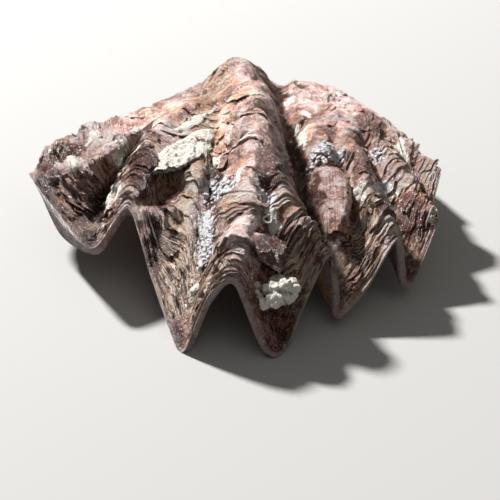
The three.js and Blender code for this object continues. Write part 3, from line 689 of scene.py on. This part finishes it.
def put(name, data):
    """A new object in the scene."""
    made = bpy.data.objects.new(name, data)
    bpy.context.scene.collection.objects.link(made)
    return made


def make_mesh(name, points, faces, facts, smooth=True):
    mesh = bpy.data.meshes.new(name)
    mesh.from_pydata(to_part(points).tolist(), [], faces)
    for key, values in facts.items():
        layer = mesh.attributes.new(key, "FLOAT", "POINT")
        layer.data.foreach_set("value", np.asarray(values, np.float32).ravel())
    mesh.polygons.foreach_set("use_smooth", [smooth] * len(mesh.polygons))
    mesh.update()
    return put(name, mesh)


def make_skin():
    """The outer surface and the hollow's wall as one closed skin."""
    u = column_places()
    outer, facts = skin_surface(u, growth_rows())
    shares = np.linspace(0, 1, INNER_ROWS)
    v_inner = 1 - HOLLOW_DEPTH * shares ** 1.3
    inner = inner_point(*np.broadcast_arrays(u[:, None], v_inner))
    inner[..., 2] -= RIPPLE_HEIGHT * np.sin(v_inner * 70) * smoothstep(shares, 0.05, 0.2)
    grid = beside(outer, inner)
    per_column = grid.shape[1]
    apex = np.array(UMBO, float)
    apex[2] += lump_height(apex[None])[0]
    floor = inner[:, -1].mean(axis=0)
    points = np.concatenate([grid.reshape(-1, 3), apex[None], floor[None]])
    top, bottom = len(points) - 2, len(points) - 1
    a = np.arange(COLUMNS)[:, None] * per_column
    b = np.roll(a, -1, axis=0)
    j = np.arange(per_column - 1)
    quads = stacked(a + j, a + j + 1, b + j + 1, b + j).reshape(-1, 4)
    last = per_column - 1
    ends = [(int(p), int(q)) for p, q in zip(a[:, 0], b[:, 0])]
    caps = [(top, p, q) for p, q in ends] + [(bottom, q + last, p + last) for p, q in ends]
    zeros = np.zeros(inner.shape[:2])
    under = {"growth": v_inner, "rim": smoothstep(v_inner, *RIM_REACH)}
    layers = {}
    for key, values in facts.items():
        fill = zeros + under.get(key, 0)
        if key in PAINTED:
            fill[:, 0] = values[:, -1]
        layers[key] = np.append(beside(values, fill), [0, 0])
    inside = beside(np.zeros(outer.shape[:2]), zeros + 1)
    inside[:, outer.shape[1]] = 0
    layers["inside"] = np.append(inside, [0, 1])
    return make_mesh("valve_skin", points, quads.tolist() + caps, layers)


# Broken growth plates that stand on the skin


def plate_grid(u, v_edge, width, length, height, blunt, seed):
    """One closed plate: its front edge lies at v_edge, its back sinks into the skin. Sizes in mm."""
    metric_u, metric_v = metrics(u, max(v_edge - 0.03, 0.05))
    columns = int(np.clip(width / PLATE_STEP, 8, 90))
    rows = int(np.clip(length / PLATE_STEP, 5, 22))
    s = np.linspace(-1, 1, columns)
    local = stacked(s * width / 2, seed * 7.3, seed * 3.1)
    reach = np.maximum((1 - np.abs(s) ** blunt) ** (1 / blunt), 0.15)
    chips = PLATE_RAGGED * (
        noise(local, 1.3, 41) + 0.7 * noise(local, 0.5, 42) + 0.5 * noise(local, 0.25, 45))
    skew = 0.3 * noise(local, width, 43)
    uu = (u + s * width / 2 / metric_u)[:, None]
    front = v_edge - (length * (1 - reach * (1 + skew)) - chips) / metric_v
    back = np.minimum(v_edge - length / metric_v, front - 0.25 / metric_v)[:, None]
    front = np.minimum(front[:, None], 0.995)
    side = (1 - s ** 8)[:, None]
    t = np.linspace(0, 1, rows) ** 0.8
    top_v = np.maximum(back + t * (front - back), 0.02)
    points, along, normal, fold, ledge = surface(uu, top_v)[:5]
    layers = 0.05 * np.sin(t * length * 9 + 2 * noise(points, 1.5, 44)) + 0.08 * noise(points, 0.5, 46)
    lift = -PLATE_SINK + (height + PLATE_SINK) * t ** 1.2 * side + layers * t * side
    top = points + normal * lift[..., None]
    riser = []
    for n, depth in enumerate(RISER_DEPTHS):
        jut = PLATE_UNDERCUT * depth * (0.6 + 0.4 * (-1) ** n) * min(1, height * 3)
        fall = (height * side + PLATE_SINK) * depth
        riser.append(top[:, -1] - normal[:, -1] * fall - along[:, -1] * jut)
    under_v = np.maximum(back + (0.6, 0) * (front - back), 0.02)
    under, _, under_normal = surface(uu, under_v)[:3]
    under = under - under_normal * PLATE_SINK * 1.6
    grid = beside(top, np.stack(riser, axis=1), under)
    zeros = np.zeros(grid.shape[:2])
    above, below = np.split(zeros, [rows], axis=1)
    facts = dict.fromkeys(PLAIN_FACTS, zeros)
    kept = {"fold": fold, "ledge": ledge, "growth": top_v + seed * 0.13, "around": uu + above + seed * 0.7}
    for key, values in kept.items():
        facts[key] = beside(values, values[:, -1:] + below)
    facts["edge"] = beside(smoothstep(t, 0.8, 1) + above, below + PLATE_EDGE)
    # Painted shade down the riser and under the plate
    facts["shaded_drop"] = beside(above, below + PLATE_SHADED_DROP)
    facts["tint"] = zeros + math.sin(seed * TINT_STEP) * 0.9
    return grid, paint(grid, facts)


def spline(points, where):
    """A smooth curve through the points, read at each place."""
    last = len(points) - 1
    k = np.minimum(np.floor(where).astype(int), last - 1)
    taps = [points[np.clip(k + i, 0, last)] for i in (-1, 0, 1, 2)]
    return hermite(*taps, where - k, 0.5)


def panel_grid(rows, thickness, seed, lengthwise=True, crumbly=False):
    """A closed panel over rows of given points, sunk at its back and broken at its front and sides."""
    control = np.array(rows, float)
    last_row, last_column = control.shape[0] - 1, control.shape[1] - 1
    long = np.linalg.norm(np.diff(control, axis=0), axis=-1).sum(axis=0).mean()
    wide = np.linalg.norm(np.diff(control, axis=1), axis=-1).sum(axis=1).mean()
    s, t = np.linspace(0, 1, int(wide / PANEL_STEP)), np.linspace(0, 1, int(long / PANEL_STEP))
    ragged = SHELF_RAGGED if crumbly else PANEL_RAGGED

    def chips(run, key):
        local = stacked(run, seed * 7.3, key)
        rough = 0.35 * noise(local, 1.3, 71) + 0.3 * noise(local, 0.5, 72) + 0.15 * noise(local, 0.22, 73)
        return ragged * np.abs(rough)

    lines = np.stack([spline(row, s * last_column) for row in control])
    place = t * (1 - chips(s * wide, 1)[:, None] / long * t ** 5) * last_row
    trim = 1 - 1.6 * chips(t * long, 5) / wide * (np.abs(2 * s - 1) ** 5)[:, None]
    top = np.stack([spline(lines[:, n], place[n]) for n in range(len(s))])
    centre = top[len(s) // 2][None]
    top = centre + (top - centre) * trim[..., None]
    along = unit(np.gradient(top, axis=1))
    normal = unit(np.cross(along, np.gradient(top, axis=0)))
    side = (1 - np.abs(2 * s - 1) ** 6)[:, None]
    sink = (0.2 if lengthwise else 0.5) * (1 - smoothstep(t, 0, 0.25)) + 0.3 * (1 - side)
    if crumbly:
        grain = 0.35 * np.abs(noise(top, 1.1, 74)) + 0.2 * np.abs(noise(top, 0.45, 75))
        grain = grain + 0.12 * noise(top, 0.22, 76)
    else:
        ribs = top * np.array((3, 0.35, 0.35) if lengthwise else (0.35, 1.6, 1.6))
        grain = 0.1 * noise(ribs, 0.9, 77) + 0.06 * noise(ribs, 0.4, 78) + 0.1 * noise(top, 0.6, 79)
        grain = grain + 0.16 * fractal(top, 1.5, 3, 81)
    top = top + normal * (grain * side * smoothstep(t, 0, 0.2) - sink)[..., None]
    depth = thickness * (0.2 + 0.8 * side)
    jag = 0.35 * np.abs(noise(top[:, -1], 0.6, 80))[:, None]
    riser = np.stack([top[:, -1] - normal[:, -1] * depth * share - along[:, -1] * (jut + jag * share)
                      for share, jut in ((0.3, 0), (0.65, 0.12), (1, 0.3))], axis=1)
    if crumbly:
        riser = riser - along[:, -1:] * 0.45 * np.abs(fractal(riser, 0.7, 3, 82))[..., None]
    back = top[:, ::-3] - normal[:, ::-3] * (depth * 1.1)[..., None]
    grid = beside(top, riser, back[:, 1:])
    zeros = np.zeros(grid.shape[:2])
    if crumbly:
        return grid, as_facts(grid, "cream") | {"cream": zeros + 0.95 - 0.45 * (1 - side)}
    above, below = np.split(zeros, [len(t)], axis=1)
    # The riser and back of a panel get painted shade through their drop fact
    facts = dict.fromkeys(PLAIN_FACTS, zeros) | {
        "fold": zeros + 0.6, "around": grid[..., 0], "growth": 0.5 + grid[..., 1] * 0.004,
        "edge": beside(smoothstep(t, 0.82, 1) * side, below), "shaded_drop": beside(above, below + 0.7)}
    facts = paint(grid, facts)
    if lengthwise:
        facts["radial"], facts["tint"] = zeros + 1, zeros - 1
    else:
        facts["growth"] = 0.5 - grid[..., 1] * 0.025 + grid[..., 0] * 0.004
    return grid, facts


def tube_faces(columns, rows, offset):
    """Faces of a grid closed along its rows, with flat ends."""
    a = offset + np.arange(columns - 1)[:, None] * rows
    j = np.arange(rows)
    after = (j + 1) % rows
    quads = stacked(a + j, a + after, a + rows + after, a + rows + j).reshape(-1, 4)
    first = [offset + n for n in range(rows)]
    last = [offset + (columns - 1) * rows + n for n in range(rows)]
    return quads.tolist() + [first[::-1], last]


def join_grids(name, grids):
    points, faces, facts, offset = [], [], {}, 0
    for grid, grid_facts in grids:
        columns, rows = grid.shape[:2]
        faces += tube_faces(columns, rows, offset)
        points.append(grid.reshape(-1, 3))
        for key, values in grid_facts.items():
            facts.setdefault(key, []).append(values.ravel())
        offset += columns * rows
    facts = {key: np.concatenate(values) for key, values in facts.items()}
    return make_mesh(name, np.concatenate(points), faces, facts)


def scattered_plates(zone, seed):
    """Random plates over a stretch of the fan: u range, v range, count, sizes."""
    rng = np.random.default_rng(seed)
    (u_low, u_high), (v_low, v_high), count, (wide, long, high) = zone
    bare_from, bare_to, bare_reach = BARE
    grids = []
    for n in range(count):
        u, v = rng.uniform(u_low, u_high), rng.uniform(v_low, v_high)
        if bare_from < u < bare_to and v < bare_reach:
            continue
        size = rng.uniform(0.5, 1.3)
        grids.append(plate_grid(u, v, wide * size, long * size * rng.uniform(0.6, 1.1),
                                high * rng.uniform(0.4, 1.2), rng.uniform(2.2, 5), seed * 100 + n))
    return grids


# Cemented sediment and crystals


def as_facts(points, kind):
    """What the material needs to know where one kind of cover hides the skin."""
    zeros = np.zeros(points.shape[:-1])
    facts = dict.fromkeys((*PLAIN_FACTS, *PAINTED), zeros)
    return facts | {kind: zeros + 1, "growth": 0.5 + 0.01 * points[..., 1], "around": points[..., 0]}


def crust_grid(spot, half, turn, thickness, clean, seed):
    """A closed lumpy crust whose ragged rim sinks into the skin."""
    metric_u, metric_v = metrics(*spot)
    s, t = (np.linspace(-1.25, 1.25, int(np.clip(2 * size / CRUST_STEP, 10, 70))) for size in half)
    s, t = np.meshgrid(s, t, indexing="ij")
    x, y = s * half[0], t * half[1]
    along_u, along_v = spin(x, y, -math.radians(turn))
    place_v = np.clip(spot[1] - along_v / metric_v, 0.02, 0.99)
    points, _, normal = surface(spot[0] + along_u / metric_u, place_v)[:3]
    local = stacked(x, y, seed * 9.7)
    reach = 1 - s ** 2 - t ** 2 + 0.5 * fractal(local, 1.6, 3, 61)
    lumps = 0.3 * np.abs(noise(local, 0.7, 62)) + 0.16 * noise(local, 0.33, 63)
    dome = np.sqrt(np.maximum(reach, 0)) * thickness * 0.7
    lift = np.where(reach > 0, dome + lumps * thickness ** 0.5, 0)
    lift = np.clip(lift, 0, thickness * 1.2) - 0.2 * smoothstep(-reach, -0.08, 0.12)
    top = points + normal * lift[..., None]
    bottom = points - normal * CRUST_DEPTH
    grid = beside(top, bottom[:, ::-1])
    share = clean * (0.35 + 0.5 * smoothstep(reach, -0.1, 0.5))
    return grid, as_facts(grid, "cream") | {"cream": beside(share, 0 * share)}


def lump_grid(middle, radius, seed):
    """A closed rough ball."""
    a = np.linspace(0, 2 * math.pi, LUMP_GRID[0], endpoint=False)
    b = np.linspace(0.12, math.pi - 0.12, LUMP_GRID[1])[:, None]
    way = stacked(np.sin(b) * np.cos(a), np.sin(b) * np.sin(a), np.cos(b))
    grid = np.array(middle) + way * radius
    bump = 0.34 * noise(grid, 0.9, 64) + 0.26 * noise(grid, 0.42, 65) + 0.16 * noise(grid, 0.2, 66)
    grid = grid + way * (bump + (0.03 * seed) % 0.1)[..., None]
    return grid, as_facts(grid, "cream")


def ring_grid(middle, radius, tube, tilt):
    """An open ring lying on the skin, with its gap at the back."""
    a = np.linspace(0.7, 2 * math.pi + 0.35, RING_GRID[0])[:, None]
    b = np.linspace(0, 2 * math.pi, RING_GRID[1], endpoint=False)
    wide = radius * (1 + 0.1 * np.sin(3 * a)) + tube * np.cos(b)
    y, z = spin(wide * np.cos(a) * 1.1, tube * np.sin(b), -tilt)
    grid = np.array(middle) + stacked(wide * np.sin(a), y, z)
    return grid, as_facts(grid, "cream")


def make_crusts():
    grids = [crust_grid(*crust, n) for n, crust in enumerate(CRUSTS, 1)]
    grids += [lump_grid(middle, radius, n) for n, (*middle, radius) in enumerate(GUTTER_LUMPS, 1)]
    grids += [ring_grid(*ring) for ring in RINGS]
    grids.append(panel_grid(SHELF, SHELF_THICKNESS, SHELF_SEED, crumbly=True))
    return join_grids("sediment", grids)


def make_crystals():
    """Small flat broken blocks scattered over the crystal patches."""
    rng = np.random.default_rng(SEED + 1)
    block = np.array([[x, y, z] for x in (-1, 1) for y in (-1, 1) for z in (-1, 1)], float)
    sides = [(0, 1, 3, 2), (4, 6, 7, 5), (0, 4, 5, 1), (2, 3, 7, 6), (0, 2, 6, 4), (1, 5, 7, 3)]
    points, faces = [], []
    for spot, half, count, size in CRYSTALS:
        metric_u, metric_v = metrics(*spot)
        for _ in range(count):
            way, far = rng.uniform(0, 2 * math.pi), math.sqrt(rng.uniform(0, 1))
            u = spot[0] + math.cos(way) * far * half[0] / metric_u
            v = min(spot[1] + math.sin(way) * far * half[1] / metric_v, 0.97)
            base, _, normal = (a[0] for a in surface(np.array([u]), np.array([v]))[:3])
            up = unit(normal + 1.3 * CRYSTAL_TILT + rng.uniform(-0.6, 0.6, 3))
            side = unit(np.cross(up, rng.uniform(-1, 1, 3)))
            axes = np.stack([side, np.cross(up, side), up])
            sizes = size * rng.uniform(0.35, 1, 3) * (1, 1, 0.45) * (1.1 - 0.5 * far) / 1.5
            corners = (block * sizes * rng.uniform(0.55, 1, (8, 1))) @ axes
            faces += [tuple(len(points) * 8 + n for n in side) for side in sides]
            points.append(base + normal * rng.uniform(0.02, 0.2) + corners)
    joined = np.concatenate(points)
    return make_mesh("crystals", joined, faces, as_facts(joined, "crystal"), smooth=False)


def make_plates():
    pieces = []
    for name, zones in PLATE_ZONES.items():
        grids = []
        for n, zone in enumerate(zones, 1):
            grids += scattered_plates(zone, len(pieces) * 10 + n)
        for n, plate in enumerate(PLATES[name]):
            grids.append(plate_grid(*plate, PLATE_SEED + 10 * len(pieces) + n))
        rng = np.random.default_rng(SEED + 50 + len(pieces))
        for u, first, last, count, width, length, height in STACKS[name]:
            for v in np.linspace(first, last, count):
                grids.append(plate_grid(
                    u + rng.uniform(-0.15, 0.15), v + rng.uniform(-0.004, 0.004),
                    width * rng.uniform(0.7, 1.1), length * rng.uniform(0.7, 1.2),
                    height * rng.uniform(0.4, 1.2), STACK_BLUNTNESS, STACK_SEED + len(grids)))
        pieces.append(join_grids(name, grids))
    grids = [panel_grid(rows, thickness, n, lengthwise)
             for n, (rows, thickness, lengthwise) in enumerate(PANELS.values(), 1)]
    return pieces + [join_grids("panels", grids)]


# Materials


class Shader:
    """Small helper that adds nodes to one material."""

    def __init__(self, name):
        self.material = bpy.data.materials.new(name)
        self.material.use_nodes = True
        self.tree = self.material.node_tree
        self.bsdf = self.tree.nodes["Principled BSDF"]

    def node(self, kind, **settings):
        made = self.tree.nodes.new("ShaderNode" + kind)
        for key, value in settings.items():
            if key in made.inputs:
                self.plug(made.inputs[key], value)
            else:
                setattr(made, key, value)
        return made

    def plug(self, socket, value):
        if isinstance(value, bpy.types.NodeSocket):
            self.tree.links.new(value, socket)
        else:
            socket.default_value = value

    def show(self, name, value):
        """Sets one socket of the surface."""
        self.plug(self.bsdf.inputs[name], value)

    def fact(self, name):
        return self.node("Attribute", attribute_name=name).outputs["Fac"]

    def math(self, operation, a, b=0):
        made = self.node("Math", operation=operation)
        self.plug(made.inputs[0], a)
        self.plug(made.inputs[1], b)
        return made.outputs[0]

    def times(self, a, b):
        return self.math("MULTIPLY", a, b)

    def total(self, first, *rest):
        for value in rest:
            first = self.math("ADD", first, value)
        return first

    def plus(self, total, *pairs):
        """Adds each value times its weight."""
        return self.total(total, *(self.times(value, weight) for value, weight in pairs))

    def weigh(self, *pairs):
        """Sum of noises about their middle, each with its weight."""
        return self.plus(0, *((self.math("SUBTRACT", value, 0.5), weight) for value, weight in pairs))

    def ramp(self, value, low, high, start=0, end=1):
        made = self.node("MapRange", interpolation_type="SMOOTHSTEP")
        for socket, setting in zip(made.inputs, (value, low, high, start, end)):
            self.plug(socket, setting)
        return made.outputs[0]

    def noise(self, scale, detail, roughness, vector):
        made = self.node("TexNoise", Vector=vector, Scale=scale, Detail=detail, Roughness=roughness)
        return made.outputs["Fac"]

    def shifted(self, vector, amount):
        made = self.node("VectorMath", operation="ADD")
        self.plug(made.inputs[0], vector)
        self.plug(made.inputs[1], (amount, amount * 0.7, amount * 1.3))
        return made.outputs["Vector"]

    def tones(self, value, stops):
        """A row of tones, each stop a place from 0 to 1 and a colour."""
        made = self.node("ValToRGB")
        self.plug(made.inputs[0], value)
        elements = made.color_ramp.elements
        while len(elements) < len(stops):
            elements.new(0.5)
        for element, (place, tone) in zip(elements, stops):
            element.position = place
            element.color = (*tone, 1)
        return made.outputs["Color"]

    def mix(self, share, a, b):
        """Mixes two colours, each a socket or three numbers."""
        made = self.node("Mix", data_type="RGBA")
        for index, value in ((0, share), (6, a), (7, b)):
            self.plug(made.inputs[index], (*value, 1) if isinstance(value, tuple) else value)
        return made.outputs[2]


def place_of(shader):
    """Object coordinates in mm."""
    coords = shader.node("TexCoord").outputs["Object"]
    return shader.node("Mapping", Vector=coords, Scale=(1 / MM,) * 3).outputs["Vector"]


def growth_place(shader, around, growth):
    """Coordinates stretched along the laminae, so that noise makes streaks."""
    across = shader.times(shader.fact("around"), around)
    along = shader.times(shader.fact("growth"), growth)
    return shader.node("CombineXYZ", X=across, Y=along).outputs[0]


def shell_material():
    s = Shader("fossil_shell")
    mm = place_of(s)
    blotch = s.noise(0.28, 4, 0.6, mm)
    hue = s.noise(0.5, 4, 0.65, s.shifted(mm, 40))
    patchy = s.noise(0.85, 5, 0.7, mm)
    speck = s.noise(2.6, 4, 0.75, mm)
    fine = s.noise(6.5, 3, 0.7, s.shifted(mm, 9))
    streak = s.noise(1, 5, 0.72, growth_place(s, 0.9, 90))
    thread = s.noise(1, 2, 0.5, growth_place(s, 0.5, 170))
    rays = s.noise(1, 4, 0.65, growth_place(s, 7, 9))
    calm, lined, radial, pink, dark, wine_and_shade, orange = (
        s.ramp(s.fact(kind), 0, reach) for kind, reach in PATCH_REACHES.items())
    fold, tint, edge = s.fact("fold"), s.fact("tint"), s.fact("edge")
    # Thin pale lines along the laminae, more in lined patches: partly own colour, partly painted highlight
    # on lamina edges
    threads_and_highlights = s.ramp(s.math("ABSOLUTE", s.math("SUBTRACT", thread, 0.5)), 0.012, 0.03, 1, 0)
    where = s.plus(s.total(patchy, s.weigh((blotch, 1))), (s.fact("lined"), 0.3))
    threads_and_highlights = s.times(threads_and_highlights, s.ramp(where, 0.42, 0.6))
    threads_and_highlights = s.times(threads_and_highlights, s.ramp(s.fact("growth"), 0.5, 0.85))

    def cover(kind, low, high, wander):
        """A patch of colour with a broken outline."""
        rough = s.weigh((patchy, wander * 2), (speck, wander), (fine, wander * 0.6))
        share = s.math("ADD", s.fact(kind), rough)
        return s.times(s.ramp(share, low, high), s.ramp(s.fact(kind), 0, 0.1))

    grit = s.times(s.weigh((speck, 1.7), (fine, 1.5)), s.math("SUBTRACT", 1, s.times(calm, 0.3)))
    tone = s.total(s.weigh((blotch, 1.3), (patchy, 1.7), (streak, 0.9)), grit)
    # In lined patches the streaks grow into strong pale and dark stripes, and their tone is lowered:
    # painted light and shade over the laminae, on the shell's own streaks
    tone = s.plus(tone, (s.weigh((rays, 1.3)), radial), (s.weigh((streak, 5.5)), lined))
    # Dark and wine patches lower the tone: partly the shell's own dark colour, partly painted shade
    tone = s.plus(s.total(tone, 0.6), (calm, -0.17), (lined, -0.24), (pink, 0.22), (dark, -0.44),
                  (wine_and_shade, -0.3), (orange, 0.06), (tint, 0.12), (s.times(tint, lined), 0.3))
    # Crests painted lighter and grooves darker by foldness: painted highlight and painted shade
    tone = s.total(tone, s.ramp(fold, 0.1, 1.8, 0, 0.12), s.ramp(fold, -0.3, -2, 0, -0.3))
    # Painted shade at lamina feet, plate risers, undersides and creases; lamina edges lighter, partly their
    # own paleness and partly painted highlight
    tone = s.plus(tone, (s.fact("shaded_drop"), -0.45), (edge, 0.14), (s.fact("ledge"), 0.08))
    warm = s.plus(s.weigh((hue, 3.2), (speck, 0.8)), (orange, 0.75), (edge, 0.35), (pink, -0.3),
                  (s.fact("crease"), 0.5), (lined, 0.3), (dark, -0.2))
    base = s.mix(s.ramp(warm, 0.05, 0.45), s.tones(tone, MAUVE_TONES), s.tones(tone, TAN_TONES))
    # Wine patches take the deep red-brown: partly own colour, partly painted shade
    base = s.mix(s.times(wine_and_shade, 0.88), base, WINE_AND_SHADE_TONE)
    # Pale lines over the base: partly own colour, partly painted highlight
    base = s.mix(s.times(threads_and_highlights, s.total(s.times(lined, 0.35), 0.45)), base, THREAD_AND_HIGHLIGHT_TONE)
    rim = s.times(s.fact("rim"), s.ramp(patchy, 0.35, 0.6, 0.3, 0.9))
    rim = s.times(rim, s.ramp(s.fact("dark"), 0, 0.3, 1, 0.2))
    base = s.mix(rim, base, RIM_TONE)
    glassy = cover("crystal", 0.42, 0.52, 2)
    base = s.mix(glassy, base, s.mix(s.ramp(speck, 0.4, 0.56), *CRYSTAL_TONES))
    chalky = cover("cream", 0.3, 0.4, 1.3)
    base = s.mix(chalky, base, s.mix(s.ramp(speck, 0.34, 0.52), *CREAM_TONES))
    glint = s.ramp(s.noise(4.6, 2, 0.6, s.shifted(mm, 77)), 0.645, 0.695)
    base = s.mix(s.times(glint, s.math("SUBTRACT", 1, s.fact("inside"))), base, GLINT_TONE)
    # The inner surface, its orange-brown brightened as painted bounce light
    base = s.mix(s.fact("inside"), base, s.mix(s.ramp(blotch, 0.4, 0.6), *HOLLOW_AND_BOUNCE_TONES))
    s.show("Base Color", base)
    gloss = s.ramp(s.plus(s.weigh((speck, 1), (fine, 0.8)), (wine_and_shade, 0.1)), -0.12, 0.14, 0.5, 0.2)
    s.show("Roughness", s.math("MAXIMUM", gloss, s.times(chalky, 0.9)))
    grain = s.weigh((s.noise(2.2, 6, 0.75, mm), 1.5), (streak, 0.4), (patchy, 0.9), (fine, 0.6))
    grain = s.times(grain, s.math("SUBTRACT", 1, s.times(calm, 0.7)))
    grain = s.plus(grain, (s.weigh((speck, 0.7), (fine, 0.7)), chalky), (s.weigh((rays, 0.35)), radial),
                   (threads_and_highlights, 0.12))
    bump = s.node("Bump", Strength=1, Distance=GRAIN_DEPTH * MM, Height=grain)
    s.show("Normal", bump.outputs["Normal"])
    return s.material


# Stage, light and camera


def make_floor():
    finish = Shader("pale_floor")
    finish.show("Base Color", (*FLOOR_TONE, 1))
    finish.show("Roughness", FLOOR_ROUGHNESS)
    corners = [(x * FLOOR_REACH, y * FLOOR_REACH, 0) for x, y in ((-1, -1), (1, -1), (1, 1), (-1, 1))]
    mesh = bpy.data.meshes.new("floor")
    mesh.from_pydata(corners, [], [(0, 1, 2, 3)])
    mesh.materials.append(finish.material)
    put("floor", mesh)


def make_light(name, direction, distance, size, power, tone):
    data = bpy.data.lights.new(name, "AREA")
    data.shape = "DISK"
    data.size = size
    data.energy = power
    data.color = tone
    lamp = put(name, data)
    lamp.location = Vector(direction).normalized() * distance
    lamp.rotation_euler = (-lamp.location).to_track_quat("-Z", "Y").to_euler()


def make_lights():
    for name, light in LIGHTS.items():
        make_light(name, *light)
    world = bpy.data.worlds.new("studio")
    world.use_nodes = True
    background = world.node_tree.nodes["Background"]
    background.inputs["Color"].default_value = (*SKY_TONE, 1)
    background.inputs["Strength"].default_value = SKY_STRENGTH
    bpy.context.scene.world = world


def make_camera():
    data = bpy.data.cameras.new("camera")
    data.sensor_width = 36
    data.lens = CAMERA_LENS
    data.clip_start = 0.01
    camera = put("camera", data)
    camera.location = (np.array(CAMERA_PLACE) + ORIGIN_SHIFT) * MM
    camera.rotation_euler = Euler([math.radians(a) for a in CAMERA_TURN])
    bpy.context.scene.camera = camera


bpy.context.scene.view_settings.view_transform = "Standard"
make_camera()
make_lights()
make_floor()
shell = shell_material()
skin = make_skin()
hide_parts("valve")
for piece in [skin, *make_plates(), make_crusts(), make_crystals()]:
    piece.data.materials.append(shell)
    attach(piece, "root")
